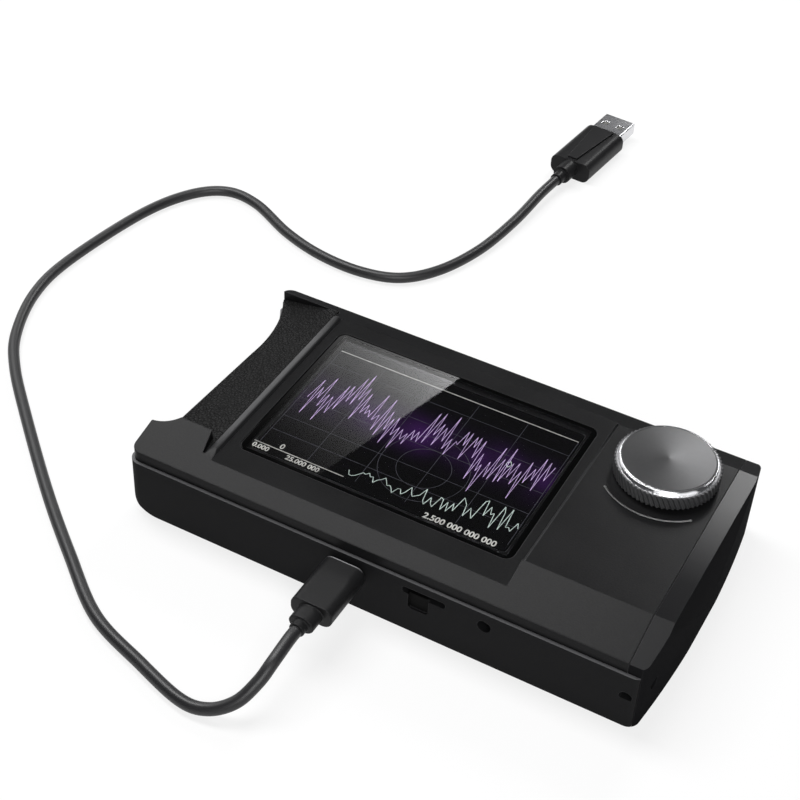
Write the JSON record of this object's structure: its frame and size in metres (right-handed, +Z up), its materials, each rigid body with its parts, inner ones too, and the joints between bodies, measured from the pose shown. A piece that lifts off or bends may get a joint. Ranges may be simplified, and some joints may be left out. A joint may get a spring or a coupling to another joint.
{
  "type": "handheld spectrum analyzer",
  "caption": "Flat handheld spectrum analyzer with a sunk colour screen, a scooped left grip, a knurled tuning knob and a USB lead plugged into its front wall.",
  "frame": {"origin": "on the table under the middle of the housing", "axes": "+X towards the knob end, +Y towards the rear wall, +Z up"},
  "size_m": [0.2391, 0.3097, 0.0316],
  "materials": {
    "black_moulding": "fine matt moulding",
    "grey_black_moulding": "fine grained moulding",
    "grip_rubber": "leather-like grain",
    "cover_glass": "polished",
    "display": "lit display",
    "ribbon": "polyimide film",
    "board": "solder mask",
    "tinned_steel": "tinned sheet",
    "battery_pouch": "foil pouch",
    "bright_metal": "plated",
    "pale_plastic": "moulded",
    "knob_black": "black anodised, knurled",
    "spun_aluminium": "spun",
    "dark_steel": "blackened",
    "gilt_brass": "gold plated",
    "black_plastic": "moulded",
    "plug_metal": "bright plated",
    "lead_grip": "matt moulded",
    "cord_jacket": "satin jacket"
  },
  "bodies": {
    "housing": {"lower_shell": "black_moulding", "upper_shell": "grey_black_moulding", "right_end_cap": "black_moulding", "grip_pad": "grip_rubber", "cover_glass": "cover_glass", "lcd_module": "display", "lcd_ribbon": "ribbon", "main_board": "board", "shield_can": "tinned_steel", "battery": "battery_pouch", "encoder_body": "bright_metal", "encoder_washer": "bright_metal", "encoder_nut": "bright_metal", "rf_jack": "gilt_brass", "rf_insulator": "pale_plastic", "rf_pin": "gilt_brass", "rf_washer": "gilt_brass", "rf_nut": "gilt_brass", "usb_port": "bright_metal", "audio_jack": "black_plastic", "card_socket": "tinned_steel", "case_screws": "dark_steel", "board_screws": "bright_metal"},
    "push_stage": {"encoder_plunger": "pale_plastic"},
    "tuning_knob": {"encoder_shaft": "bright_metal", "knob": "knob_black", "knob_face": "spun_aluminium", "knob_set_screw": "dark_steel"},
    "usb_lead": {"usb_c_shell": "plug_metal", "usb_c_grip": "lead_grip", "usb_cord": "cord_jacket", "usb_a_grip": "lead_grip", "usb_a_shell": "plug_metal", "usb_a_tongue": "pale_plastic"}
  },
  "joints": [
    {"name": "knob_push", "type": "slide", "parent": "housing", "child": "push_stage", "axis": [0, 0, -1], "range_m": [0, 0.0005], "stiffness_N_per_m": 8000},
    {"name": "knob_turn", "type": "hinge", "parent": "push_stage", "child": "tuning_knob", "pos_m": [0.0543, 0.0219, 0.028], "axis": [0, 0, 1], "continuous": true},
    {"name": "usb_unplug", "type": "slide", "parent": "housing", "child": "usb_lead", "axis": [0, -1, 0], "range_m": [0, 0.012]}
  ]
}
